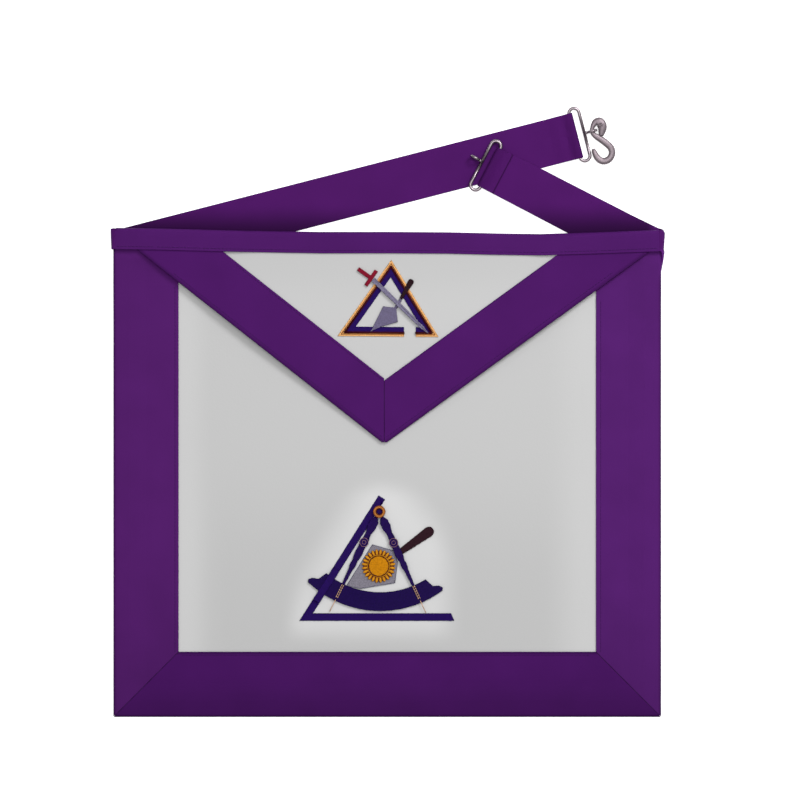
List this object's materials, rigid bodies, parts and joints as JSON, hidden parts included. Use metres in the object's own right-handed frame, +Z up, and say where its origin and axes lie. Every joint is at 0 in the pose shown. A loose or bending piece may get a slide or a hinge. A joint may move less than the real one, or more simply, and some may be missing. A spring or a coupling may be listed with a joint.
{
  "type": "masonic apron",
  "caption": "Flat white leather lodge apron with purple ribbon border, pointed bib, embroidered emblems and a ribbon belt with wire keepers and a snake hook.",
  "frame": {"origin": "middle of the body panel's underside, where it touches the table", "axes": "+Z up out of the table, +Y from the lower hem towards the waistband, +X to the right as the apron is looked at"},
  "size_m": [0.411, 0.4522, 0.0098],
  "materials": {
    "white_leather": "fine-grained white lambskin",
    "purple_ribbon": "close-woven ribbon, slight sheen",
    "nickel": "polished nickel plate",
    "violet_thread": "satin stitch",
    "amber_thread": "satin stitch",
    "gold_thread": "satin stitch",
    "silver_thread": "satin stitch",
    "brown_thread": "satin stitch",
    "red_thread": "satin stitch"
  },
  "bodies": {
    "apron": {"body_panel": "white_leather", "flap_panel": "white_leather", "border_left": "purple_ribbon", "border_right": "purple_ribbon", "border_bottom": "purple_ribbon", "waistband": "purple_ribbon", "flap_border_left": "purple_ribbon", "flap_border_right": "purple_ribbon", "strap_left": "purple_ribbon", "strap_right": "purple_ribbon", "square": "violet_thread", "quadrant": "violet_thread", "compasses": "violet_thread", "flap_blue_triangle": "violet_thread", "compass_pivot": "amber_thread", "compass_point_left": "amber_thread", "compass_point_right": "amber_thread", "flap_gold_triangle": "amber_thread", "trowel_blade": "silver_thread", "flap_trowel": "silver_thread", "flap_sword_blade": "silver_thread", "trowel_handle": "brown_thread", "flap_trowel_handle": "brown_thread", "flap_sword_hilt": "red_thread", "sun_disc": "gold_thread", "sun_rays": "gold_thread"},
    "hook_keeper": {"hook_keeper": "nickel"},
    "eye_keeper": {"eye_keeper": "nickel"},
    "snake_hook": {"snake_hook": "nickel"}
  },
  "joints": [
    {"name": "hook_keeper_swing", "type": "hinge", "parent": "apron", "child": "hook_keeper", "pos_m": [0.13873, 0.24947, 0.00255], "axis": [0.2487, -0.9686, 0], "range_deg": [0, 90]},
    {"name": "eye_keeper_swing", "type": "hinge", "parent": "apron", "child": "eye_keeper", "pos_m": [0.07636, 0.22562, 0.00385], "axis": [0.4633, 0.8862, 0], "range_deg": [0, 90]},
    {"name": "snake_hook_swing", "type": "hinge", "parent": "hook_keeper", "child": "snake_hook", "pos_m": [0.15471, 0.25357, 0.0042], "axis": [0, 0, 1], "range_deg": [0, 40]}
  ]
}
